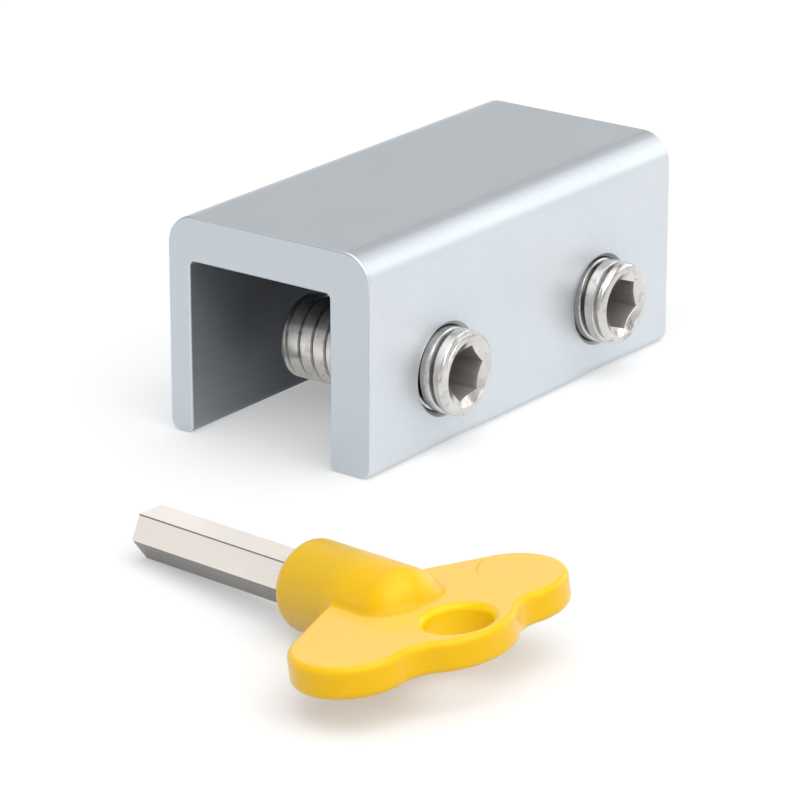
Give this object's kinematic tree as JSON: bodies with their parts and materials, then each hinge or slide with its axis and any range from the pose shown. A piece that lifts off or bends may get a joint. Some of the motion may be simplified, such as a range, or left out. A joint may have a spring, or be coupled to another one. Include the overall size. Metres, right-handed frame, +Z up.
{
  "type": "sliding window lock",
  "caption": "Aluminium channel that clamps on a sliding window's track with hexagon socket set screws, shown with its hexagon key with a moulded butterfly bow.",
  "frame": {"origin": "middle of the slot's mouth, half way along the channel and level with the leg ends", "axes": "+X along the channel, +Y from the tapped leg to the plain leg, +Z up from the leg ends to the web"},
  "size_m": [0.0937, 0.0611, 0.021],
  "materials": {
    "anodised_aluminium": "satin anodised",
    "plated_steel": "bright nickel plate",
    "blade_steel": "drawn bright",
    "yellow_plastic": "gloss moulded"
  },
  "bodies": {
    "lock": {"lock_channel": "anodised_aluminium", "key_blade": "blade_steel", "key_bow": "yellow_plastic"},
    "front_screw": {"set_screw_front": "plated_steel"},
    "rear_screw": {"set_screw_rear": "plated_steel"}
  },
  "joints": [
    {"name": "front_screw_slide", "type": "slide", "parent": "lock", "child": "front_screw", "axis": [0, 1, 0], "range_m": [-0.0117, 0.0038]},
    {"name": "rear_screw_slide", "type": "slide", "parent": "lock", "child": "rear_screw", "axis": [0, 1, 0], "range_m": [-0.0113, 0.0041]}
  ]
}
